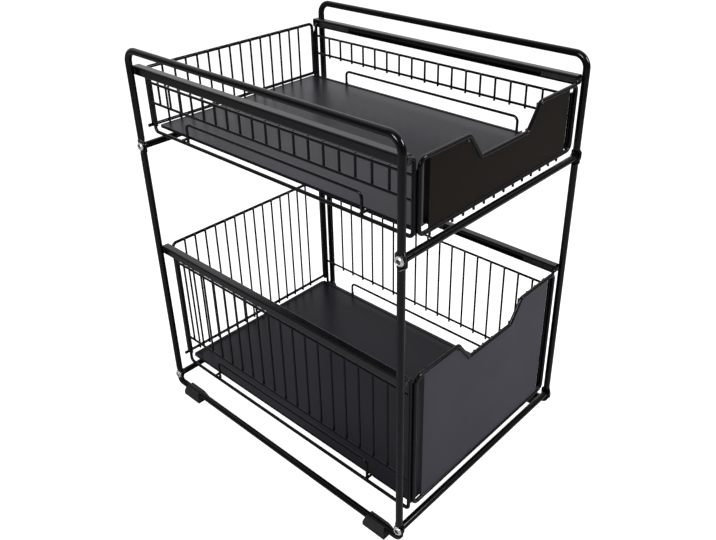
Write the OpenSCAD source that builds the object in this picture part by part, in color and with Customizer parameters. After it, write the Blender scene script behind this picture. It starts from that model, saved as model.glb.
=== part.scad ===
// Two-tier pull-out cabinet basket: a bolted tube frame with two wire drawers on channel rails.
// Millimetres. The origin is at floor level in the middle of the footprint, +Z is up,
// and both drawers pull out towards -Y.

/* [Frame] */
// Distance between the post centres across the front
frame_w = 301; // [260:1:380]
// Distance between the front and back post centres
frame_d = 400; // [360:1:460]
// Height of the centre line of the top tubes
top_z = 477.5; // [470:0.5:540]
// Height of the middle crossbars and the joint between the upper frames and the posts
middle_z = 362.5; // [355:0.5:366]
// Height of the bottom crossbars
bottom_z = 22.8; // [22:0.2:26]
// Height of the base bars' centre line
base_z = 10.5; // [10:0.5:11]
// Outside diameter of every frame tube
tube_d = 8; // [7:0.5:8]
// Centre line radius of the upper frames' corner bends
top_bend_r = 15; // [12:1:25]

/* [Bolted lugs] */
// Thickness of one flattened tube end
lug_t = 2; // [1.6:0.1:2]
// Width of a flattened tube end
lug_w = 12; // [11:0.5:12]
// Length of the taper from round tube to flat lug
lug_taper = 3; // [3:0.5:5]
// Hole for the frame screw
screw_hole_d = 5; // [5:0.1:5.4]
// Diameter of the screw shank
screw_d = 4.8; // [4:0.1:4.8]
// Diameter of the pan head
screw_head_d = 9.5; // [8:0.5:10]
// Height of the pan head
screw_head_h = 3; // [2.4:0.2:3.4]
// Length of the screw under its head
screw_len = 20; // [14:1:22]

/* [Rails] */
// Width of the channel
rail_w = 10.8; // [10.8:0.1:11]
// Height of the channel
rail_h = 10.5; // [10:0.5:11]
// Sheet thickness of the channel
rail_t = 1; // [0.8:0.1:1]
// Height of the slot that faces the drawer
rail_slot = 5.6; // [5.2:0.1:6]
// Outside corner radius of the channel
rail_r = 2; // [1.2:0.1:2]
// Distance from a front post's centre line to the open end of the channel
rail_start = 2.5; // [2:0.1:2.6]
// Distance that the closed end reaches past a back post's centre line
rail_end = 1.5; // [0:0.5:4]
// Length of the nylon guide in the mouth of each rail
guide_len = 40; // [30:1:50]
// Length of the nylon glide at the back of each runner
glide_len = 55; // [40:1:60]

/* [Drawer wires] */
// Diameter of the hanger wires that carry a basket
hanger_d = 4; // [3.5:0.1:4]
// Diameter of the runner rods
runner_d = 5; // [4.5:0.1:5]
// Diameter of the front loop wire
loop_d = 4.5; // [4:0.1:4.5]
// Diameter of the horizontal wires of the side grids
rib_d = 3; // [2.6:0.1:3.2]
// Diameter of the thin upright wires
bar_d = 2.6; // [2:0.1:2.8]
// Diameter of the low guards and the cross wires under the tray
guard_d = 3.2; // [3:0.1:3.4]
// Diameter of the back rim and the back bottom wire
back_d = 4; // [3.5:0.1:4]
// Number of upright bars in a side grid
side_bars = 18; // [10:1:20]
// Spacing of the side bars
side_pitch = 20.5; // [18:0.05:20.6]
// Distance from the front posts to the first bar on the left, in the lower and the upper drawer
left_bars_start = [34.35, 31.35]; // [16:0.05:35]
// Distance from the front posts to the first bar on the right, in the lower and the upper drawer
right_bars_start = [26.15, 17.45]; // [16:0.05:35]
// Number of upright bars in the back
back_bars = 14; // [9:1:15]
// Spacing of the back bars
back_pitch = 16.45; // [12:0.05:16.6]
// Offset of the back bars from the middle, in the lower and the upper drawer
back_shift = [-8, -3.8]; // [-8:0.1:8]
// Number of upright bars behind the front panel
front_bars = 14; // [8:2:14]
// Spacing of the front bars
front_pitch = 16.85; // [12:0.05:17]
// Diameter of the corner wires beside the hangers' uprights
corner_d = 4; // [3.9:0.1:4]
// Depth that a weld sinks one wire into the next
weld = 0.1; // [0.05:0.01:0.15]
// Depth that the front panel's edges sink into the loop
seam = 0.02; // [0.01:0.01:0.02]

/* [Front, panel and tray] */
// Half width of the finger notch at its bottom
notch_bottom = 39.5; // [30:0.5:45]
// Depth of the finger notch
notch_depth = 26.4; // [20:0.4:30]
// Half width of the front panel
panel_half_w = 116; // [100:1:117]
// Depth of the panel's folded side edges
panel_fold = 6.5; // [2:0.1:7]
// Thickness of the panel and tray sheet
sheet_t = 0.9; // [0.8:0.1:1.2]
// Width of the hem folded over the tray's side edges
hem_w = 3; // [2:0.5:4]
// Height of the edge folded down along the tray's sides
tray_fold = 1.8; // [1.2:0.2:3]
// Cut across the tray's back corners
tray_cut = 3; // [2:0.5:12]

/* [Drawer heights, lower then upper] */
// Runner rods, in the middle of the rails
runner_z = [219.25, 452.75]; // [200:0.25:460]
// Bottom run of the hanger wires
hanger_z = [39, 377.5]; // [38:0.5:380]
// Top rim of the front loop
rim_z = [219.5, 451.5]; // [200:0.5:460]
// Bottom run of the front loop
loop_z = [46, 378.5]; // [44:0.5:384]
// Top wire of the side grids
side_top_z = [198, 437.2]; // [180:0.5:440]
// Low wire of the side grids
side_low_z = [81, 413.3]; // [78:0.5:415]
// Top of the low guards
guard_z = [63.5, 399.5]; // [60:0.5:402]
// Back rim
back_rim_z = [222, 452.5]; // [210:0.5:460]
// Back bottom wire
back_low_z = [51, 384.5]; // [49:0.5:392]

/* [Feet] */
// Length of a foot along its base bar
foot_len = 32; // [26:1:40]
// Distance from a post's centre to the near end of its foot
foot_from_post = 16; // [14:1:24]
// How far a foot reaches outside its base bar's centre line
foot_out = 7.5; // [7:0.5:9]
// How far a foot reaches inside its base bar's centre line
foot_in = 9.5; // [8:0.5:11]
// Height of a foot
foot_h = 13.5; // [12.5:0.5:13.5]

/* [Hidden] */
$fn = 48;
hull_fn = 32;
slice = 0.1;
LOWER = 0;
UPPER = 1;
LEFT = -1;
RIGHT = 1;
FRONT = -1;
BACK = 1;

half_w = frame_w / 2;
notch_top = notch_bottom + notch_depth * 3 / 4;
half_d = frame_d / 2;
base_taper = 1.6;
base_bend_r = bottom_z - lug_w / 2 - base_z - base_taper;
lug_r = lug_w / 2;
lug_half = lug_r + lug_taper;
bore_len = screw_len - 2 * lug_t + 4;

// Side distances, measured inwards from the plane of the posts on one side
rail_x = tube_d / 2 + 0.05;
rail_mid_x = rail_x + rail_w / 2;
hanger_x = rail_x + rail_w + 0.5 + hanger_d / 2;
guard_x = hanger_x + hanger_d / 2 + guard_d / 2 - weld;
bar_x = hanger_x + rib_d / 2 + bar_d / 2 - weld;
loop_x = hanger_x + 4;
back_leg_x = 19;
tray_x = 23.6;
tip_x = 12.5;

// Positions along the drawer, from front to back
loop_y = -half_d - 1.6;
front_bar_y = loop_y + loop_d / 2 + bar_d / 2 - 3 * weld;
hanger_front_y = -half_d + 1.8;
hanger_back_y = half_d - 6.6;
back_y = half_d - 0.25;
back_bar_y = back_y - back_d / 2 - bar_d / 2 + weld;
guard_front_y = -half_d + 66;
guard_back_y = half_d - 65;
cross_wire_y = [guard_front_y - guard_d + weld, guard_back_y + guard_d - weld];
tray_front_y = front_bar_y + bar_d / 2 + 0.05;
tray_back_y = [half_d - 2.5, half_d - 5];
runner_front_y = hanger_front_y - 1.6;
runner_back_y = hanger_back_y + 2.3;
guide_front_y = hanger_front_y + hanger_d / 2 + 2.2;
glide_back_y = hanger_back_y - hanger_d / 2 - 0.3;

hanger_bend_r = 5;
hook_bend_r = 3;
guard_bend_r = 6;
loop_bend_r = 7;
notch_bend_r = 5;
back_bend_r = 6;
bar_poke = 0.8;
front_poke = 6.2;
bar_drop = 0.6;
notch_chamfer = 6;
corner_drop = 10;
running_gap = 0.1;
slide_gap = 0.3;

FRAME_NODES = [
    "left_upper_frame", "right_upper_frame",
    "left_front_post", "left_back_post", "right_front_post", "right_back_post",
    "left_base_bar", "right_base_bar",
    "front_middle_crossbar", "back_middle_crossbar",
    "front_bottom_crossbar", "back_bottom_crossbar",
    "upper_left_rail", "upper_right_rail", "lower_left_rail", "lower_right_rail",
    "upper_rail_guides", "lower_rail_guides", "frame_screws",
    "left_front_foot", "left_back_foot", "right_front_foot", "right_back_foot"
];
UPPER_NODES = [
    "upper_left_hanger", "upper_right_hanger", "upper_left_runner", "upper_right_runner",
    "upper_glides", "upper_left_side_grid", "upper_right_side_grid",
    "upper_left_guard", "upper_right_guard", "upper_cross_wires",
    "upper_back_grid", "upper_front_grid", "upper_front_panel", "upper_tray"
];
LOWER_NODES = [
    "lower_left_hanger", "lower_right_hanger", "lower_left_runner", "lower_right_runner",
    "lower_glides", "lower_left_side_grid", "lower_right_side_grid",
    "lower_left_guard", "lower_right_guard", "lower_cross_wires",
    "lower_back_grid", "lower_front_grid", "lower_front_panel", "lower_tray"
];

// ---- Bent and straight wire ----

function unit(v) = v / norm(v);

// Inside angle of the corner at p between a and b
function corner_angle(a, p, b) = acos(unit(a - p) * unit(b - p));

// Length that a bend takes off each side of its corner
function setback(pts, r, i) =
    let (n = len(pts))
    r[i] == 0 ? 0 : r[i] / tan(corner_angle(pts[(i + n - 1) % n], pts[i], pts[(i + 1) % n]) / 2);

// Round wire from p to q
module straight(p, q, d) {
    v = q - p;
    translate(p)
        rotate([0, acos(v[2] / norm(v)), atan2(v[1], v[0])])
            cylinder(d = d, h = norm(v));
}

// Round bend of centre line radius r at the corner p between a and b, in the XY plane
module bend(a, p, b, r, d) {
    angle = corner_angle(a, p, b);
    centre = p + unit(unit(a - p) + unit(b - p)) * r / sin(angle / 2);
    from_a = p + unit(a - p) * r / tan(angle / 2) - centre;
    from_b = p + unit(b - p) * r / tan(angle / 2) - centre;
    first = cross(from_a, from_b) > 0 ? from_a : from_b;
    translate([centre[0], centre[1], 0])
        rotate([0, 0, atan2(first[1], first[0])])
            rotate_extrude(angle = 180 - angle)
                translate([r, 0])
                    circle(d = d);
}

// Wire in the XY plane through the corner points pts, with the bend radius of each corner in r
// (0 at the ends of an open wire)
module bent_wire(pts, r, d, closed = false) {
    n = len(pts);
    for (i = [0 : n - (closed ? 1 : 2)]) {
        j = (i + 1) % n;
        along = unit(pts[j] - pts[i]);
        p = pts[i] + along * setback(pts, r, i);
        q = pts[j] - along * setback(pts, r, j);
        if (norm(q - p) > slice) straight([p[0], p[1], 0], [q[0], q[1], 0], d);
    }
    for (i = [0 : n - 1])
        if (r[i] > 0)
            bend(pts[(i + n - 1) % n], pts[i], pts[(i + 1) % n], r[i], d);
}

// Turns a drawing's (x, y) into (X, Z), at the given Y
module across(y) {
    translate([0, y, 0]) rotate([90, 0, 0]) children();
}

// Turns a drawing's (x, y) into (Y, Z), at the given X
module lengthways(x) {
    translate([x, 0, 0]) rotate([90, 0, 90]) children();
}

// Draws a left-hand piece, or its mirror image on the right
module on_side(side) {
    if (side == LEFT) children();
    else mirror([1, 0, 0]) children();
}

// Draws a front piece, or its mirror image at the back
module at_end(end) {
    if (end == FRONT) children();
    else mirror([0, 1, 0]) children();
}

// ---- Frame ----

// Flattened tube end at the origin: a rounded lug round the screw hole, and the taper to the
// round tube above it. face is the X of the lug's outer face.
module lug(face) {
    translate([face, 0, 0]) rotate([0, 90, 0]) cylinder(r = lug_r, h = lug_t);
    translate([face, -lug_r, 0]) cube([lug_t, lug_w, lug_half - lug_taper + slice]);
    hull() {
        translate([face, -lug_r, lug_half - lug_taper]) cube([lug_t, lug_w, slice]);
        translate([0, 0, lug_half]) cylinder(d = tube_d, h = slice, $fn = hull_fn);
    }
}

// Screw hole along X through a lug at the origin
module lug_hole() {
    translate([-lug_t - 1, 0, 0]) rotate([0, 90, 0]) cylinder(d = screw_hole_d, h = 2 * lug_t + 2);
}

// Upper side frame: one tube bent over the top, with a lug at the foot of each leg
module upper_frame(side) {
    foot = middle_z + lug_half;
    color("#1b1b1b")
    on_side(side)
    translate([-half_w, 0, 0])
    difference() {
        union() {
            lengthways(0)
                bent_wire([[-half_d, foot], [-half_d, top_z], [half_d, top_z], [half_d, foot]],
                          [0, top_bend_r, top_bend_r, 0], tube_d);
            for (y = [-half_d, half_d])
                translate([0, y, middle_z]) lug(-lug_t);
        }
        for (y = [-half_d, half_d])
            translate([0, y, middle_z]) lug_hole();
    }
}

// Lower post with a lug at each end
module post(side, end) {
    round_len = middle_z - bottom_z - 2 * lug_half;
    color("#1b1b1b")
    on_side(side)
    translate([-half_w, end * half_d, 0])
    difference() {
        union() {
            translate([0, 0, bottom_z + lug_half]) cylinder(d = tube_d, h = round_len);
            translate([0, 0, bottom_z]) lug(0);
            translate([0, 0, middle_z]) mirror([0, 0, 1]) lug(0);
        }
        for (z = [bottom_z, middle_z])
            translate([0, 0, z]) lug_hole();
    }
}

// Turned-up end of a base bar: the lug, and its short taper from the end of the bend
module base_lug() {
    translate([-lug_t, 0, bottom_z]) rotate([0, 90, 0]) cylinder(r = lug_r, h = lug_t);
    translate([-lug_t, -lug_r, bottom_z - lug_r]) cube([lug_t, lug_w, lug_r]);
    hull() {
        translate([-lug_t, -lug_r, bottom_z - lug_r - slice]) cube([lug_t, lug_w, slice]);
        translate([0, 0, base_z + base_bend_r]) cylinder(d = tube_d, h = slice, $fn = hull_fn);
    }
}

// Base bar along the floor, with both ends turned up to the posts
module base_bar(side) {
    turn_z = base_z + base_bend_r;
    color("#1b1b1b")
    on_side(side)
    translate([-half_w, 0, 0])
    difference() {
        union() {
            lengthways(0)
                bent_wire([[-half_d, turn_z + slice], [-half_d, base_z],
                           [half_d, base_z], [half_d, turn_z + slice]],
                          [0, base_bend_r, base_bend_r, 0], tube_d);
            for (y = [-half_d, half_d])
                translate([0, y, 0]) base_lug();
        }
        for (y = [-half_d, half_d])
            translate([0, y, bottom_z]) lug_hole();
    }
}

// Crossbar between the two sides, with a threaded bore in each end
module crossbar(end, z) {
    bar_len = frame_w - 2 * lug_t;
    color("#1b1b1b")
    translate([-bar_len / 2, end * half_d, z])
    rotate([0, 90, 0])
    difference() {
        cylinder(d = tube_d, h = bar_len);
        translate([0, 0, -1]) cylinder(d = screw_hole_d, h = bore_len + 1);
        translate([0, 0, bar_len - bore_len]) cylinder(d = screw_hole_d, h = bore_len + 1);
    }
}

// Pan head screw along +X, with the underside of its head at the origin
module frame_screw() {
    head_r = screw_head_d / 2;
    dome_r = (head_r * head_r + screw_head_h * screw_head_h) / (2 * screw_head_h);
    slot_w = 1.3;
    slot_l = 5;
    slot_depth = 1.4;
    difference() {
        union() {
            rotate([0, 90, 0]) cylinder(d = screw_d, h = screw_len);
            intersection() {
                translate([dome_r - screw_head_h, 0, 0]) sphere(r = dome_r, $fn = 64);
                translate([-screw_head_h, 0, 0])
                    rotate([0, 90, 0]) cylinder(d = screw_head_d - 0.4, h = screw_head_h);
            }
        }
        for (turn = [0, 90])
            rotate([turn, 0, 0])
                translate([-screw_head_h - 1, -slot_w / 2, -slot_l / 2])
                    cube([slot_depth + 1, slot_w, slot_l]);
    }
}

// The eight frame screws
module frame_screws() {
    color("silver")
    for (side = [LEFT, RIGHT], end = [FRONT, BACK], z = [bottom_z, middle_z])
        on_side(side)
            translate([-half_w - lug_t, end * half_d, z]) frame_screw();
}

// Outline of a box section w by h with rounded corners
module rounded_box(w, h, r) {
    square([w - 2 * r, h], center = true);
    square([w, h - 2 * r], center = true);
    for (x = [-1, 1], y = [-1, 1])
        translate([x * (w / 2 - r), y * (h / 2 - r)]) circle(r = r);
}

// Channel rail with its slot towards the drawer, closed at the back and welded to both posts
module rail(side, level) {
    rail_len = frame_d - rail_start + rail_end;
    bead_r = 1.25;
    bead_reach = tube_d / 2 + bead_r - weld;
    bead_y = sqrt(bead_reach * bead_reach - (rail_x + 0.2) * (rail_x + 0.2));
    color("#3a3a3c")
    on_side(side)
    translate([-half_w + rail_mid_x, 0, runner_z[level]]) {
        translate([0, half_d + rail_end, 0])
        rotate([90, 0, 0])
        difference() {
            linear_extrude(rail_len) rounded_box(rail_w, rail_h, rail_r);
            translate([0, 0, rail_t])
                linear_extrude(rail_len)
                    rounded_box(rail_w - 2 * rail_t, rail_h - 2 * rail_t, rail_r - rail_t);
            translate([0, -rail_slot / 2, rail_t]) cube([rail_w, rail_slot, rail_len]);
        }
        for (end = [FRONT, BACK])
            translate([rail_x + 0.2 - rail_mid_x, end * (half_d - bead_y), -rail_h / 2 + rail_r])
                cylinder(r = bead_r, h = rail_h - 2 * rail_r);
    }
}

// Nylon guides pressed into the mouths of one level's rails; the runner rods slide in them
module rail_guides(level) {
    color("#202022")
    for (side = [LEFT, RIGHT])
        on_side(side)
            translate([-half_w + rail_mid_x, guide_front_y + guide_len, runner_z[level]])
            rotate([90, 0, 0])
            difference() {
                linear_extrude(guide_len)
                    rounded_box(rail_w - 2 * rail_t, rail_h - 2 * rail_t, rail_r - rail_t);
                translate([0, 0, -1])
                    cylinder(d = runner_d + 2 * running_gap, h = guide_len + 2);
            }
}

// Rubber foot clipped on a base bar from below, with all four sides sloping in towards the top
module foot(side, end) {
    side_slope = 2;
    end_slope = 3;
    grip_z = base_z;
    color("#141414")
    on_side(side)
    at_end(end)
    translate([-half_w, -half_d + foot_from_post, 0])
    difference() {
        intersection() {
            translate([0, foot_len, 0]) rotate([90, 0, 0])
                linear_extrude(foot_len)
                    polygon([[-foot_out, 0], [foot_in, 0], [foot_in, grip_z / 3],
                             [foot_in - 2 * side_slope, foot_h], [-foot_out + side_slope, foot_h],
                             [-foot_out, grip_z / 2]]);
            translate([-foot_out, 0, 0]) rotate([90, 0, 90])
                linear_extrude(foot_out + foot_in)
                    polygon([[0, 0], [foot_len, 0], [foot_len, grip_z / 2],
                             [foot_len - end_slope, foot_h], [end_slope, foot_h],
                             [0, grip_z / 2]]);
        }
        translate([0, -1, base_z]) rotate([-90, 0, 0]) cylinder(d = tube_d, h = foot_len + 2);
    }
}

// ---- Drawers ----

// Hanger: one wire that runs under the basket's side, up at both ends, and hooks out through the
// rail's slot to the runner
module hanger(side, level) {
    hook_z = runner_z[level] - hook_bend_r;
    hook_end = hanger_x - rail_mid_x - runner_d / 2 + weld;
    color("#1a1a1b")
    on_side(side)
    translate([-half_w + hanger_x, 0, 0]) {
        lengthways(0)
            bent_wire([[hanger_front_y, hook_z], [hanger_front_y, hanger_z[level]],
                       [hanger_back_y, hanger_z[level]], [hanger_back_y, hook_z]],
                      [0, hanger_bend_r, hanger_bend_r, 0], hanger_d);
        for (y = [hanger_front_y, hanger_back_y])
            across(y)
                bent_wire([[0, hook_z], [0, runner_z[level]], [-hook_end, runner_z[level]]],
                          [0, hook_bend_r, 0], hanger_d);
    }
}

// Runner rod that slides inside a rail
module runner(side, level) {
    color("#2a2a2c")
    on_side(side)
        straight([-half_w + rail_mid_x, runner_front_y, runner_z[level]],
                 [-half_w + rail_mid_x, runner_back_y, runner_z[level]], runner_d);
}

// Nylon glides fixed on the back of one drawer's runners
module glides(level) {
    color("#e8e6df")
    for (side = [LEFT, RIGHT])
        on_side(side)
            translate([-half_w + rail_mid_x, glide_back_y, runner_z[level]])
            rotate([90, 0, 0])
            difference() {
                linear_extrude(glide_len)
                    rounded_box(rail_w - 2 * rail_t - 2 * slide_gap,
                                rail_h - 2 * rail_t - 2 * slide_gap, rail_r - rail_t);
                translate([0, 0, -1]) cylinder(d = runner_d + 0.05, h = glide_len + 2);
            }
}

// Side grid: two long wires between the hanger's uprights, with thin bars welded inside them
module side_grid(side, level) {
    front_end = hanger_front_y + hanger_d / 2 - weld;
    back_end = hanger_back_y - hanger_d / 2 + weld;
    first_bar = -half_d + (side == LEFT ? left_bars_start[level] : right_bars_start[level]);
    bar_foot = side_low_z[level] - rib_d / 2 - bar_poke;
    bar_top = side_top_z[level] + rib_d / 2;
    color("#1a1a1b")
    on_side(side)
    translate([-half_w, 0, 0]) {
        for (z = [side_low_z[level], side_top_z[level]])
            straight([hanger_x, front_end, z], [hanger_x, back_end, z], rib_d);
        for (i = [0 : side_bars - 1])
            translate([bar_x, first_bar + i * side_pitch, bar_foot])
                cylinder(d = bar_d, h = bar_top - bar_foot);
    }
}

// Low guard that keeps things on the tray, welded to the inside of the hanger wire
module guard(side, level) {
    leg_z = hanger_z[level] - hanger_d / 2 + 0.2;
    color("#1a1a1b")
    on_side(side)
    lengthways(-half_w + guard_x)
        bent_wire([[guard_front_y, leg_z], [guard_front_y, guard_z[level]],
                   [guard_back_y, guard_z[level]], [guard_back_y, leg_z]],
                  [0, guard_bend_r, guard_bend_r, 0], guard_d);
}

// The two cross wires that lie on the hanger wires and carry the tray
module cross_wires(level) {
    x = half_w - hanger_x + hanger_d / 2 - 0.2;
    z = hanger_z[level] + hanger_d / 2 + guard_d / 2 - 2 * weld;
    color("#1a1a1b")
    for (y = cross_wire_y)
        straight([-x, y, z], [x, y, z], guard_d);
}

// Back of the basket: a bent rim on a long bottom wire, with thin upright bars inside them, and
// the corner wires that join the rim to the hangers
module back_grid(level) {
    leg = half_w - back_leg_x;
    tip = half_w - tip_x;
    low = back_low_z[level];
    top = back_rim_z[level];
    leg_end = low + back_d / 2 - weld;
    corner_span = [back_leg_x - hanger_x, back_y - hanger_back_y];
    corner_reach = (hanger_d + corner_d) / 2 - 0.01;
    corner_off = sqrt(pow(corner_reach, 2) - pow(norm(corner_span) / 2, 2));
    back_corner = [hanger_x, hanger_back_y] + corner_span / 2
                  + corner_off * unit([corner_span[1], -corner_span[0]]);
    color("#1a1a1b") {
        straight([-tip, back_y, low], [tip, back_y, low], back_d);
        across(back_y)
            bent_wire([[-leg, leg_end], [-leg, top], [leg, top], [leg, leg_end]],
                      [0, back_bend_r, back_bend_r, 0], back_d);
        for (i = [0 : back_bars - 1])
            translate([back_shift[level] + (i - (back_bars - 1) / 2) * back_pitch, back_bar_y,
                       low - back_d / 2])
                cylinder(d = bar_d, h = top - low + back_d);
        for (side = [LEFT, RIGHT])
            on_side(side)
                translate([-half_w + back_corner[0], back_corner[1], low - back_d / 2])
                    cylinder(d = corner_d, h = top - corner_drop - low + back_d / 2);
    }
}

// Height of the underside of one drawer's tray
function tray_z(level) = hanger_z[level] + hanger_d / 2 + guard_d - 2 * weld;

// Height of the front loop's upper run at a distance x from the middle
function loop_top(x, level) =
    rim_z[level] - notch_depth * min(1, max(0, (notch_top - x) / (notch_top - notch_bottom)));

// Front of the basket: a closed loop with a finger notch, thin bars behind it, and the corner
// wires that join it to the hangers
module front_grid(level) {
    leg = half_w - loop_x;
    low = loop_z[level];
    top = rim_z[level];
    dip = top - notch_depth;
    color("#1a1a1b") {
        across(loop_y)
            bent_wire([[-leg, low], [-leg, top], [-notch_top, top], [-notch_bottom, dip],
                       [notch_bottom, dip], [notch_top, top], [leg, top], [leg, low]],
                      [loop_bend_r, loop_bend_r, notch_bend_r, notch_bend_r,
                       notch_bend_r, notch_bend_r, loop_bend_r, loop_bend_r], loop_d, true);
        for (i = [0 : front_bars - 1]) {
            x = (i - (front_bars - 1) / 2) * front_pitch;
            foot = low - loop_d / 2 - front_poke;
            translate([x, front_bar_y, foot])
                cylinder(d = bar_d, h = loop_top(abs(x) - bar_d / 4, level) - bar_drop - foot);
        }
        for (x = [-leg - 0.1, leg + 0.1])
            translate([x, loop_y + (loop_d + corner_d) / 2 - 0.05, low])
                cylinder(d = corner_d, h = top - corner_drop - low);
    }
}

// Front panel: a sheet inside the loop with its side edges folded back, and with the finger notch
// and its corners cut off
module front_panel(level) {
    inset = loop_d / 2 - seam;
    run = notch_top - notch_bottom;
    slope = norm([run, notch_depth]);
    low = loop_z[level] + inset;
    fold_low = max(low, tray_z(level) + 2 * sheet_t + slide_gap);
    top = rim_z[level] - inset;
    dip = top - notch_depth;
    dip_x = notch_bottom + inset * (slope - run) / notch_depth;
    top_x = dip_x + run;
    cut_x = top_x - notch_chamfer * run / notch_depth;
    right_half = [[panel_half_w, low], [panel_half_w, top], [top_x + notch_chamfer, top],
                  [cut_x, top - notch_chamfer], [dip_x, dip]];
    left_half = [for (i = [len(right_half) - 1 : -1 : 0]) [-right_half[i][0], right_half[i][1]]];
    color("#2c2a29") {
        across(loop_y + sheet_t / 2)
            linear_extrude(sheet_t) polygon(concat(right_half, left_half));
        for (x = [-panel_half_w, panel_half_w - sheet_t])
            translate([x, loop_y - sheet_t / 2, fold_low])
                cube([sheet_t, panel_fold, top - fold_low]);
    }
}

// Tray: a sheet on the cross wires, with hemmed sides folded down at the edge and clipped back
// corners
module tray(level) {
    x = half_w - tray_x;
    back = tray_back_y[level];
    side_len = back - tray_cut - tray_front_y;
    notch_w = guard_d + 2;
    color("#4a494f")
    translate([0, 0, tray_z(level)]) {
        linear_extrude(sheet_t)
            polygon([[-x, tray_front_y], [x, tray_front_y], [x, back - tray_cut],
                     [x - tray_cut, back], [tray_cut - x, back], [-x, back - tray_cut]]);
        for (side = [LEFT, RIGHT])
            on_side(side)
                difference() {
                    union() {
                        translate([-x, tray_front_y, 0]) cube([hem_w, side_len, 2 * sheet_t]);
                        translate([-x, tray_front_y, -tray_fold])
                            cube([sheet_t, side_len, tray_fold + sheet_t]);
                    }
                    for (y = cross_wire_y)
                        translate([-x - 1, y - notch_w / 2, -tray_fold - 1])
                            cube([sheet_t + 2, notch_w, tray_fold + 1]);
                }
    }
}

upper_frame(LEFT);  // left_upper_frame
upper_frame(RIGHT);  // right_upper_frame
post(LEFT, FRONT);  // left_front_post
post(LEFT, BACK);  // left_back_post
post(RIGHT, FRONT);  // right_front_post
post(RIGHT, BACK);  // right_back_post
base_bar(LEFT);  // left_base_bar
base_bar(RIGHT);  // right_base_bar
crossbar(FRONT, middle_z);  // front_middle_crossbar
crossbar(BACK, middle_z);  // back_middle_crossbar
crossbar(FRONT, bottom_z);  // front_bottom_crossbar
crossbar(BACK, bottom_z);  // back_bottom_crossbar
rail(LEFT, UPPER);  // upper_left_rail
rail(RIGHT, UPPER);  // upper_right_rail
rail(LEFT, LOWER);  // lower_left_rail
rail(RIGHT, LOWER);  // lower_right_rail
rail_guides(UPPER);  // upper_rail_guides
rail_guides(LOWER);  // lower_rail_guides
frame_screws();
foot(LEFT, FRONT);  // left_front_foot
foot(LEFT, BACK);  // left_back_foot
foot(RIGHT, FRONT);  // right_front_foot
foot(RIGHT, BACK);  // right_back_foot
hanger(LEFT, UPPER);  // upper_left_hanger
hanger(RIGHT, UPPER);  // upper_right_hanger
runner(LEFT, UPPER);  // upper_left_runner
runner(RIGHT, UPPER);  // upper_right_runner
glides(UPPER);  // upper_glides
side_grid(LEFT, UPPER);  // upper_left_side_grid
side_grid(RIGHT, UPPER);  // upper_right_side_grid
guard(LEFT, UPPER);  // upper_left_guard
guard(RIGHT, UPPER);  // upper_right_guard
cross_wires(UPPER);  // upper_cross_wires
back_grid(UPPER);  // upper_back_grid
front_grid(UPPER);  // upper_front_grid
front_panel(UPPER);  // upper_front_panel
tray(UPPER);  // upper_tray
hanger(LEFT, LOWER);  // lower_left_hanger
hanger(RIGHT, LOWER);  // lower_right_hanger
runner(LEFT, LOWER);  // lower_left_runner
runner(RIGHT, LOWER);  // lower_right_runner
glides(LOWER);  // lower_glides
side_grid(LEFT, LOWER);  // lower_left_side_grid
side_grid(RIGHT, LOWER);  // lower_right_side_grid
guard(LEFT, LOWER);  // lower_left_guard
guard(RIGHT, LOWER);  // lower_right_guard
cross_wires(LOWER);  // lower_cross_wires
back_grid(LOWER);  // lower_back_grid
front_grid(LOWER);  // lower_front_grid
front_panel(LOWER);  // lower_front_panel
tray(LOWER);  // lower_tray
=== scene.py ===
"""Looks of the two-tier pull-out cabinet basket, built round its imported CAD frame.

The CAD nodes keep their shapes and get their finishes here. Two kinds of small piece are added: the
weld beads of each drawer, and frame screws with a rounded head, a dished cross recess and a thread,
which stand in for the plainer CAD ones. Places and sizes are in metres, except for the beads and the
screws, which are in millimetres like the CAD source.
"""
import math
import random

import bmesh
import bpy
from mathutils import Matrix, Vector


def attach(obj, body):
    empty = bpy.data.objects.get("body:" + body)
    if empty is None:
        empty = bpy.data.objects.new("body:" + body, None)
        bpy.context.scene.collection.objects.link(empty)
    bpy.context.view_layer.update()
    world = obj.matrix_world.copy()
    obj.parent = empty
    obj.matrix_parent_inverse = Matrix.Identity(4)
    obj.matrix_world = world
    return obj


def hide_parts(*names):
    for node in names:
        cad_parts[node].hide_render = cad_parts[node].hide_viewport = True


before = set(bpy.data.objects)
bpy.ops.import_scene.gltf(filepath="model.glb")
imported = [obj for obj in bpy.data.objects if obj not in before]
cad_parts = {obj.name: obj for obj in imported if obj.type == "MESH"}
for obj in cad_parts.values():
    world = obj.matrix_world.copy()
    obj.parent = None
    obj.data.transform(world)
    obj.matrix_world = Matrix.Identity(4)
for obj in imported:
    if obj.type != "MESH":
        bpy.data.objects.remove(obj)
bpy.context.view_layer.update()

MM = 0.001
LEVELS = ("lower", "upper")

# ---- Camera: the photograph's viewing angle ----

CAMERA_PLACE = (-0.5932, -0.5729, 0.7078)
CAMERA_ANGLES = (60.866, 0.831, -47.438)  # degrees about X, Y and Z
CAMERA_LENS = 38.87  # mm
CAMERA_SENSOR = 36  # mm wide
CAMERA_SHIFT = (-0.0128, -0.0450)  # shares of the picture's width
CAMERA_CLIP = 0.01


def add_camera():
    data = bpy.data.cameras.new("camera")
    data.sensor_width = CAMERA_SENSOR
    data.sensor_fit = "HORIZONTAL"
    data.lens = CAMERA_LENS
    data.shift_x, data.shift_y = CAMERA_SHIFT
    data.clip_start = CAMERA_CLIP
    camera = bpy.data.objects.new("camera", data)
    camera.location = CAMERA_PLACE
    camera.rotation_euler = [math.radians(angle) for angle in CAMERA_ANGLES]
    bpy.context.scene.collection.objects.link(camera)
    bpy.context.scene.camera = camera


# ---- Materials ----

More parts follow.
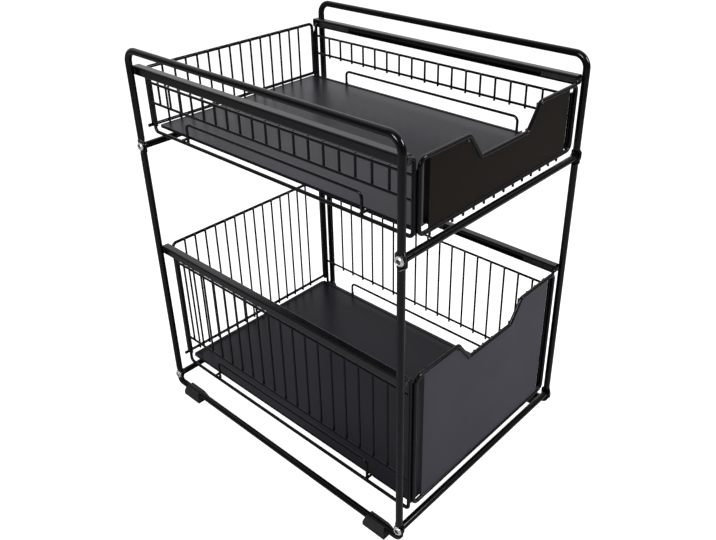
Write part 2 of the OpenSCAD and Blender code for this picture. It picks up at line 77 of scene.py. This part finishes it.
NOISE_ENDS = (0.3, 0.7)  # nearly all values of a noise texture lie between these
COAT_SHEEN = (0.92, 0.88, 1.0)  # the slightly violet gloss of the black powder
COAT_TONE_ENDS = (0.35, 0.65)  # the part of the noise's range over which a coat's tone changes
COAT_TONE_SPREAD = 0.06  # share by which the tone varies
COAT_SMOOTHER = 0.015  # how far the roughness goes below and above that of the coat
COAT_ROUGHER = 0.02
FINE_PEEL_SHARE = 0.4  # depth of the fine orange peel against the coarse one
ZINC_METALLIC = 0.7
ZINC_BLUE = 1.02  # how much bluer the light patches of the plating are


class Nodes:
    """A material's node tree, with short calls for the nodes that the finishes share."""

    def __init__(self, name):
        self.material = bpy.data.materials.new(name)
        self.material.use_nodes = True
        self.tree = self.material.node_tree
        self.shader = self.tree.nodes["Principled BSDF"]
        self.place = self.tree.nodes.new("ShaderNodeTexCoord").outputs["Object"]

    def link(self, output, socket):
        self.tree.links.new(output, socket)

    def noise(self, scale, detail):
        """Noise over the object's own space, in features of 1/scale metres."""
        noise = self.tree.nodes.new("ShaderNodeTexNoise")
        noise.inputs["Scale"].default_value = scale
        noise.inputs["Detail"].default_value = detail
        self.link(self.place, noise.inputs["Vector"])
        return noise.outputs["Fac"]

    def ramp(self, value, dark, light, ends=NOISE_ENDS):
        """A colour that goes from dark to light as value goes from one end to the other."""
        ramp = self.tree.nodes.new("ShaderNodeValToRGB")
        for element, position, colour in zip(ramp.color_ramp.elements, ends, (dark, light)):
            element.position = position
            element.color = (*colour, 1)
        self.link(value, ramp.inputs["Fac"])
        return ramp.outputs["Color"]

    def spread(self, value, low, high):
        """A number that goes from low to high as value goes over the noise's range."""
        spread = self.tree.nodes.new("ShaderNodeMapRange")
        spread.inputs["From Min"].default_value = NOISE_ENDS[0]
        spread.inputs["From Max"].default_value = NOISE_ENDS[1]
        spread.inputs["To Min"].default_value = low
        spread.inputs["To Max"].default_value = high
        self.link(value, spread.inputs["Value"])
        return spread.outputs["Result"]

    def bump(self, value, depth, under=None):
        """A bump of that depth in metres, on top of another bump if one is given."""
        bump = self.tree.nodes.new("ShaderNodeBump")
        bump.inputs["Strength"].default_value = 1.0
        bump.inputs["Distance"].default_value = depth
        self.link(value, bump.inputs["Height"])
        if under:
            self.link(under, bump.inputs["Normal"])
        return bump.outputs["Normal"]

    def finish(self, colour, roughness, normal):
        """The material, once its three varying inputs are linked."""
        self.link(colour, self.shader.inputs["Base Color"])
        self.link(roughness, self.shader.inputs["Roughness"])
        self.link(normal, self.shader.inputs["Normal"])
        return self.material


def shade(colour, factor):
    return tuple(part * factor for part in colour)


def powder_coat(name, colour, roughness, peel, specular):
    """Baked powder coat: the fine orange peel of the powder, and a slightly uneven tone and gloss."""
    nodes = Nodes(name)
    nodes.shader.inputs["Specular IOR Level"].default_value = specular
    nodes.shader.inputs["Specular Tint"].default_value = (*COAT_SHEEN, 1)
    dark = shade(colour, 1 - COAT_TONE_SPREAD)
    light = shade(colour, 1 + COAT_TONE_SPREAD)
    tone = nodes.ramp(nodes.noise(scale=14, detail=3), dark, light, COAT_TONE_ENDS)
    gloss = nodes.spread(nodes.noise(scale=25, detail=2),
                         roughness - COAT_SMOOTHER, roughness + COAT_ROUGHER)
    coarse = nodes.bump(nodes.noise(scale=900, detail=2), peel)
    fine = nodes.bump(nodes.noise(scale=3200, detail=2), peel * FINE_PEEL_SHARE, coarse)
    return nodes.finish(tone, gloss, fine)


def zinc(name, dark, light, smooth, rough):
    """Zinc plating, a little uneven from the plating bath."""
    nodes = Nodes(name)
    nodes.shader.inputs["Metallic"].default_value = ZINC_METALLIC
    tone = nodes.ramp(nodes.noise(scale=500, detail=3),
                      (dark, dark, dark), (light, light, light * ZINC_BLUE))
    gloss = nodes.spread(nodes.noise(scale=900, detail=3), smooth, rough)
    grain = nodes.bump(nodes.noise(scale=2500, detail=2), depth=0.00001)
    return nodes.finish(tone, gloss, grain)


def rubber(name):
    """Moulded black rubber with a fine matt grain."""
    nodes = Nodes(name)
    tone = nodes.ramp(nodes.noise(scale=80, detail=4), (0.010, 0.010, 0.010), (0.018, 0.018, 0.018))
    gloss = nodes.spread(nodes.noise(scale=300, detail=3), low=0.62, high=0.8)
    grain = nodes.bump(nodes.noise(scale=2600, detail=3), depth=0.00003)
    return nodes.finish(tone, gloss, grain)


def nylon(name):
    """Black nylon with a soft moulded sheen."""
    nodes = Nodes(name)
    tone = nodes.ramp(nodes.noise(scale=120, detail=2), (0.016, 0.016, 0.017), (0.028, 0.028, 0.03))
    gloss = nodes.spread(nodes.noise(scale=400, detail=2), low=0.4, high=0.5)
    grain = nodes.bump(nodes.noise(scale=1500, detail=2), depth=0.00002)
    return nodes.finish(tone, gloss, grain)


# Each coat's colour, roughness, depth of orange peel in metres, and strength of the gloss
COATS = {
    "tube": ((0.0030, 0.0030, 0.0030), 0.15, 0.00001, 0.28),
    "wire": ((0.0032, 0.0032, 0.0034), 0.20, 0.000008, 0.28),
    "rail": ((0.0012, 0.0012, 0.0012), 0.27, 0.00002, 0.44),
    "runner": ((0.010, 0.010, 0.0105), 0.26, 0.000008, 0.5),
    # Both front panels have one and the same black coat: the upper panel's darker, brownish colour is
    # painted shade and reflection, and the lower panel's lighter, bluer colour is painted light
    "upper_panel": ((0.0100, 0.0068, 0.0048), 0.40, 0.00002, 0.08),
    "lower_panel": ((0.061, 0.0575, 0.074), 0.45, 0.00002, 0.15),
    # The trays have one coat; the lower tray's slightly darker colour is painted shade from the drawer above
    # it
    "upper_tray": ((0.0082, 0.0072, 0.0118), 0.30, 0.00001, 0.19),
    "lower_tray": ((0.0076, 0.0069, 0.0106), 0.30, 0.00001, 0.19),
}

MATERIALS = {key: powder_coat(key + "_coat", *values) for key, values in COATS.items()}
MATERIALS["screws"] = zinc("zinc_plate", dark=0.72, light=0.92, smooth=0.22, rough=0.36)
# Dark zinc for the faces inside the cross recesses: painted shade, the plating there is the same
MATERIALS["recess"] = zinc("zinc_recess", dark=0.10, light=0.18, smooth=0.44, rough=0.58)
MATERIALS["feet"] = rubber("foot_rubber")
MATERIALS["nylon"] = nylon("black_nylon")


def finish_of(name):
    """The material key of a CAD node, from its name."""
    if name == "frame_screws":
        return "screws"
    if name.endswith("foot"):
        return "feet"
    if name.endswith(("glides", "guides")):
        return "nylon"
    if name.endswith("runner"):
        return "runner"
    if name.endswith("rail"):
        return "rail"
    if name.endswith(("front_panel", "tray")):
        return name.replace("front_", "")
    if name.endswith(("upper_frame", "post", "bar")):
        return "tube"
    return "wire"


def paint(piece, material):
    piece.data.materials.clear()
    piece.data.materials.append(material)


# ---- Weld beads ----

# Places of the wires and their joins, in millimetres, as in the CAD source. These are the same in both
# drawers, and YS are the front one and the back one
HANGER_X = 133.15
HANGER_YS = (-198.2, 193.4)
HANGER_R = 2.0
HOOK_TIP_X = 138.5
SIDE_BARS = 18
SIDE_PITCH = 20.5
SIDE_JOIN_X = 131.65
UPRIGHT_BARS = 14
BACK_PITCH = 16.45
BACK_JOIN_Y = 197.8
FRONT_PITCH = 16.85
FRONT_JOIN_Y = -199.5
RIM_JOIN_DROP = 0.9  # how far under the middle of the rim the front bars meet it
NOTCH_BOTTOM = 39.5  # half widths of the finger notch
NOTCH_TOP = 59.3
NOTCH_DEPTH = 26.4
GUARD_YS = (-134.0, 135.0)
GUARD_JOIN_X = 131.2
CROSS_WIRE_YS = (-137.1, 138.1)
CROSS_JOIN_RISE = 1.9  # how far above the hangers' middle the cross wires meet them
FRONT_CORNER_JOINS = ((129.2, -199.4), (131.2, -197.8))  # (x, y)
BACK_CORNER_JOINS = ((131.64, 194.7), (130.81, 197.88))
CORNER_WELDS = (0.12, 0.5, 0.86)  # shares of a corner's height

# These are the lower drawer's and the upper drawer's
HANGER_Z = (39.0, 377.5)
RUNNER_Z = (219.25, 452.75)
SIDE_WIRES_Z = ((81.0, 198.0), (413.3, 437.2))
LEFT_FIRST_Y = (-165.65, -168.65)
RIGHT_FIRST_Y = (-173.85, -182.55)
BACK_SHIFT = (-8.0, -3.8)
BACK_WIRES_Z = ((51.0, 222.0), (384.5, 452.5))
LOOP_Z = (46.0, 378.5)
RIM_Z = (219.5, 451.5)

# Half sizes of the beads along X, Y and Z, in millimetres
SIDE_BAR_BEAD = (0.8, 1.8, 1.3)
SIDE_WIRE_BEAD = (1.8, 0.9, 1.9)
GUARD_BEAD = (0.9, 2.1, 2.0)
CROSS_WIRE_BEAD = (1.9, 2.0, 0.8)
HOOK_BEAD = (0.8, 2.1, 1.9)
BACK_BAR_BEAD = (1.9, 0.8, 1.9)
FRONT_BAR_BEAD = (1.9, 0.8, 1.8)
FRONT_RIM_BEAD = (1.8, 0.7, 0.9)
CORNER_BEAD = (1.1, 1.1, 2.8)

BEAD_SEED = 11
BEAD_SIZES = (0.92, 1.08)  # how much a bead's half sizes vary
BEAD_DENTS = (0.93, 1.05)  # how much its surface does


def as_object(name, shape):
    """A new object made from a bmesh, which is freed."""
    mesh = bpy.data.meshes.new(name)
    shape.to_mesh(mesh)
    shape.free()
    piece = bpy.data.objects.new(name, mesh)
    bpy.context.scene.collection.objects.link(piece)
    return piece


def rim_height(x, level):
    """Height of the front loop's upper run at a distance x from the middle."""
    share = (NOTCH_TOP - x) / (NOTCH_TOP - NOTCH_BOTTOM)
    return RIM_Z[level] - NOTCH_DEPTH * min(1, max(0, share))


def side_beads(level):
    """Where the side grids' bars cross their long wires, and where those end on the hangers."""
    beads = []
    for side, first in ((-1, LEFT_FIRST_Y[level]), (1, RIGHT_FIRST_Y[level])):
        for z in SIDE_WIRES_Z[level]:
            for i in range(SIDE_BARS):
                beads.append(((side * SIDE_JOIN_X, first + i * SIDE_PITCH, z), SIDE_BAR_BEAD))
            for y, inwards in zip(HANGER_YS, (HANGER_R, -HANGER_R)):
                beads.append(((side * HANGER_X, y + inwards, z), SIDE_WIRE_BEAD))
    return beads


def hanger_beads(level):
    """Where the guards, the cross wires and the runners are welded to the hangers."""
    beads = []
    for side in (-1, 1):
        for y in GUARD_YS:
            beads.append(((side * GUARD_JOIN_X, y, HANGER_Z[level]), GUARD_BEAD))
        for y in CROSS_WIRE_YS:
            beads.append(((side * HANGER_X, y, HANGER_Z[level] + CROSS_JOIN_RISE), CROSS_WIRE_BEAD))
        for y in HANGER_YS:
            beads.append(((side * HOOK_TIP_X, y, RUNNER_Z[level]), HOOK_BEAD))
    return beads


def upright_beads(level):
    """Where the thin bars of the back and front grids meet the wires above and below."""
    beads = []
    for i in range(UPRIGHT_BARS):
        step = i - (UPRIGHT_BARS - 1) / 2
        back_x = BACK_SHIFT[level] + step * BACK_PITCH
        for z in BACK_WIRES_Z[level]:
            beads.append(((back_x, BACK_JOIN_Y, z), BACK_BAR_BEAD))
        front_x = step * FRONT_PITCH
        top = rim_height(abs(front_x), level) - RIM_JOIN_DROP
        beads.append(((front_x, FRONT_JOIN_Y, LOOP_Z[level]), FRONT_BAR_BEAD))
        beads.append(((front_x, FRONT_JOIN_Y, top), FRONT_RIM_BEAD))
    return beads


def corner_beads(level):
    """Short seams up the corner wires."""
    beads = []
    front_low, front_high = LOOP_Z[level], RIM_Z[level]
    back_low, back_high = BACK_WIRES_Z[level]
    for side in (-1, 1):
        for share in CORNER_WELDS:
            for x, y in FRONT_CORNER_JOINS:
                z = front_low + share * (front_high - front_low)
                beads.append(((side * x, y, z), CORNER_BEAD))
            for x, y in BACK_CORNER_JOINS:
                z = back_low + share * (back_high - back_low)
                beads.append(((side * x, y, z), CORNER_BEAD))
    return beads


def add_weld_beads(level):
    """One drawer's resistance-weld beads: flattened drops, each a little uneven."""
    chance = random.Random(BEAD_SEED + level)
    shape = bmesh.new()
    for centre, half in side_beads(level) + hanger_beads(level) + upright_beads(level) + corner_beads(level):
        place = Matrix.Translation([value * MM for value in centre])
        place = place @ Matrix.Diagonal([size * MM * chance.uniform(*BEAD_SIZES) for size in half] + [1])
        drop = bmesh.ops.create_icosphere(shape, subdivisions=2, radius=1, matrix=place)
        middle = Vector(centre) * MM
        for vert in drop["verts"]:
            vert.co = middle + (vert.co - middle) * chance.uniform(*BEAD_DENTS)
    for face in shape.faces:
        face.smooth = True
    beads = as_object(LEVELS[level] + "_weld_beads", shape)
    paint(beads, MATERIALS["wire"])
    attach(beads, LEVELS[level] + "_drawer")


# ---- Frame screws ----

# Places are as in the CAD source; heights go outwards along the screw from the underside of its head
SCREW_X = 152.5
SCREW_YS = (-200.0, 200.0)
SCREW_ZS = (22.8, 362.5)
SHANK_R = 2.4
SHANK_LENGTH = 20.0
TIP_BEVEL = 0.6
THREAD_START = 1.0  # above the tip
THREAD_END = -1.5  # the height where it ends, under the head
THREAD_DEPTH = 0.25
THREAD_PITCH = 0.8
HEAD_PROFILE = ((0.0, 4.8), (0.25, 5.1), (0.9, 5.15), (1.5, 4.95), (2.1, 4.5), (2.6, 3.9), (2.88, 3.35),
                (2.92, 3.05), (2.75, 2.8), (2.5, 2.65))  # (height, radius), over the rim into the dish
DISH_HEIGHT = HEAD_PROFILE[-1][0]
CROSS_WIDTH = 1.7
CROSS_LENGTH = 5.2
CROSS_DEPTH = 1.7  # under the dish
CROSS_TOP = 3.2  # clear of the head
CROSS_NARROWING = (0.45, 0.6)  # length and width at the bottom of the cross, as shares of the top's
# The faces inside the recess get the dark zinc, which is painted shade
RECESS_HEIGHTS = (0.5, 2.6)  # faces between these, and this near the axis, are inside the recess
RECESS_R = 2.9
TURN_STEPS = 40
SEAM_GAP = 0.001  # points closer than this are one point
CROSS_STEP = 90  # degrees after which a cross looks the same


def screw_profile():
    """(height, radius) from the tip of the shank to the middle of the dish in the head."""
    tip = -SHANK_LENGTH
    points = [(tip, 0.0), (tip, SHANK_R - TIP_BEVEL), (tip + TIP_BEVEL, SHANK_R)]
    height = tip + THREAD_START
    while height < THREAD_END:
        points += [(height, SHANK_R - THREAD_DEPTH), (height + THREAD_PITCH / 2, SHANK_R)]
        height += THREAD_PITCH
    points.append((0.0, SHANK_R))
    return points + list(HEAD_PROFILE) + [(DISH_HEIGHT, 0.0)]


def cross_ring(shape, height, length, width):
    """The corners of a cross at one height."""
    reach, edge = length / 2, width / 2
    outline = [(reach, -edge), (reach, edge), (edge, edge), (edge, reach),
               (-edge, reach), (-edge, edge), (-reach, edge), (-reach, -edge),
               (-edge, -edge), (-edge, -reach), (edge, -reach), (edge, -edge)]
    return [shape.verts.new((height, y, z)) for y, z in outline]


def cross_cutter():
    """A tapered cross, which cuts the driver recess."""
    shape = bmesh.new()
    length_share, width_share = CROSS_NARROWING
    top = cross_ring(shape, CROSS_TOP, CROSS_LENGTH, CROSS_WIDTH)
    bottom = cross_ring(shape, DISH_HEIGHT - CROSS_DEPTH, CROSS_LENGTH * length_share,
                        CROSS_WIDTH * width_share)
    shape.faces.new(top)
    shape.faces.new(bottom[::-1])
    for i in range(len(top)):
        j = (i + 1) % len(top)
        shape.faces.new((top[j], top[i], bottom[i], bottom[j]))
    bmesh.ops.recalc_face_normals(shape, faces=shape.faces)
    return shape


def one_screw():
    """The mesh of a pan head screw along X in millimetres, its head towards +X from the origin."""
    shape = bmesh.new()
    verts = [shape.verts.new((height, radius, 0)) for height, radius in screw_profile()]
    edges = [shape.edges.new(pair) for pair in zip(verts, verts[1:])]
    bmesh.ops.spin(shape, geom=verts + edges, cent=(0, 0, 0), axis=(1, 0, 0), angle=math.tau,
                   steps=TURN_STEPS, use_merge=True)
    bmesh.ops.remove_doubles(shape, verts=shape.verts, dist=SEAM_GAP)
    bmesh.ops.recalc_face_normals(shape, faces=shape.faces)
    screw = as_object("screw_blank", shape)
    cutter = as_object("screw_cutter", cross_cutter())
    cut = screw.modifiers.new("cross", "BOOLEAN")
    cut.operation = "DIFFERENCE"
    cut.solver = "EXACT"
    cut.object = cutter
    bpy.context.view_layer.update()
    finished = bpy.data.meshes.new_from_object(screw.evaluated_get(bpy.context.evaluated_depsgraph_get()))
    bpy.data.objects.remove(screw)
    bpy.data.objects.remove(cutter)
    return finished


def screw_place(side, y, z):
    """Takes a screw to its place on one side, with its cross at an angle of its own."""
    turn = Matrix.Rotation(math.radians((y + z) % CROSS_STEP), 4, "X")
    facing = Matrix.Rotation(0 if side > 0 else math.pi, 4, "Z")
    return Matrix.Translation([side * SCREW_X * MM, y * MM, z * MM]) @ facing @ turn @ Matrix.Scale(MM, 4)


def in_recess(face):
    """Whether a face of the set is one of the cross recess's."""
    middle = face.calc_center_median() / MM
    height = abs(middle.x) - SCREW_X
    off_axis = min(math.hypot(middle.y - y, middle.z - z) for y in SCREW_YS for z in SCREW_ZS)
    return RECESS_HEIGHTS[0] < height < RECESS_HEIGHTS[1] and off_axis < RECESS_R


def add_screws():
    """The eight frame screws, in place of the plainer CAD ones."""
    screw = one_screw()
    shape = bmesh.new()
    for side in (-1, 1):
        for y in SCREW_YS:
            for z in SCREW_ZS:
                start = len(shape.verts)
                shape.from_mesh(screw)
                shape.verts.ensure_lookup_table()
                bmesh.ops.transform(shape, matrix=screw_place(side, y, z), verts=shape.verts[start:])
    for face in shape.faces:
        # Faces inside the cross recess get the dark zinc, a painted shade, and flat shading
        shaded_recess_face = in_recess(face)
        face.smooth = not shaded_recess_face
        face.material_index = int(shaded_recess_face)
    screws = as_object("frame_screw_set", shape)
    screws.data.materials.append(MATERIALS["screws"])
    screws.data.materials.append(MATERIALS["recess"])
    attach(screws, "frame")
    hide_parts("frame_screws")


# ---- Studio ----

FLOOR_HALF = 6.0
PAPER_TONE = 0.36  # how much light the paper reflects
PAPER_ROUGHNESS = 0.9
LIGHT_FROM = (0.60, 0.65, 0.45)  # direction of the brightest part of the surroundings
WORLD_FRONT = 0.06
WORLD_BACK = 1.0
WORLD_FADE = (0.15, 0.95)  # where the front tone ends and the back one is reached, along LIGHT_FROM
BACKDROP = 1.0  # what the camera sees of the surroundings
LIGHT_TARGET = (0, 0, 0.24)

# Each softbox's place, size in metres, power in watts, and whether it leaves a highlight
SOFTBOXES = {
    "overhead": ((-0.1, -0.25, 2.4), 1.6, 12, False),
    "left_box": ((-1.21, -0.17, 1.05), 0.42, 13, True),
    "right_box": ((0.44, -1.04, 1.08), 0.42, 13, True),
}


def add_floor():
    """The plain floor, which looks as white as the backdrop."""
    half = FLOOR_HALF
    mesh = bpy.data.meshes.new("studio_floor")
    mesh.from_pydata([(-half, -half, 0), (half, -half, 0), (half, half, 0), (-half, half, 0)], [],
                     [(0, 1, 2, 3)])
    floor = bpy.data.objects.new("studio_floor", mesh)
    bpy.context.scene.collection.objects.link(floor)
    nodes = Nodes("studio_paper")
    nodes.shader.inputs["Base Color"].default_value = (PAPER_TONE, PAPER_TONE, PAPER_TONE, 1)
    nodes.shader.inputs["Roughness"].default_value = PAPER_ROUGHNESS
    nodes.shader.inputs["Specular IOR Level"].default_value = 0.0
    nodes.shader.inputs["Emission Color"].default_value = (1, 1, 1, 1)
    # The glow is for the camera alone, so that it doesn't light the object
    seen = nodes.tree.nodes.new("ShaderNodeLightPath").outputs["Is Camera Ray"]
    nodes.link(seen, nodes.shader.inputs["Emission Strength"])
    mesh.materials.append(nodes.material)


def add_softbox(name, place, size, power, mirrored):
    """A square softbox; one that isn't mirrored lights the object but leaves no highlight on it."""
    data = bpy.data.lights.new(name, "AREA")
    data.shape = "SQUARE"
    data.size = size
    data.energy = power
    light = bpy.data.objects.new(name, data)
    light.location = place
    light.rotation_euler = (Vector(LIGHT_TARGET) - Vector(place)).to_track_quat("-Z", "Y").to_euler()
    light.visible_glossy = mirrored
    bpy.context.scene.collection.objects.link(light)


def add_world():
    """Soft light that comes mostly from behind the object; the backdrop itself looks white."""
    world = bpy.data.worlds.new("studio")
    world.use_nodes = True
    tree = world.node_tree
    background = tree.nodes["Background"]
    background.inputs["Color"].default_value = (1, 1, 1, 1)
    direction = tree.nodes.new("ShaderNodeTexCoord").outputs["Generated"]
    along = tree.nodes.new("ShaderNodeVectorMath")
    along.operation = "DOT_PRODUCT"
    along.inputs[1].default_value = LIGHT_FROM
    tree.links.new(direction, along.inputs[0])
    glow = tree.nodes.new("ShaderNodeMapRange")
    glow.interpolation_type = "SMOOTHSTEP"
    glow.inputs["From Min"].default_value = WORLD_FADE[0]
    glow.inputs["From Max"].default_value = WORLD_FADE[1]
    glow.inputs["To Min"].default_value = WORLD_FRONT
    glow.inputs["To Max"].default_value = WORLD_BACK
    tree.links.new(along.outputs["Value"], glow.inputs["Value"])
    seen = tree.nodes.new("ShaderNodeLightPath").outputs["Is Camera Ray"]
    pick = tree.nodes.new("ShaderNodeMix")
    pick.inputs["B"].default_value = BACKDROP
    tree.links.new(seen, pick.inputs["Factor"])
    tree.links.new(glow.outputs["Result"], pick.inputs["A"])
    tree.links.new(pick.outputs["Result"], background.inputs["Strength"])
    bpy.context.scene.world = world


# ---- The scene ----

for node_name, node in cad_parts.items():
    paint(node, MATERIALS[finish_of(node_name)])
for drawer_level in range(len(LEVELS)):
    add_weld_beads(drawer_level)
add_screws()
add_camera()
add_floor()
add_world()
for softbox, settings in SOFTBOXES.items():
    add_softbox(softbox, *settings)
bpy.context.scene.view_settings.view_transform = "Standard"
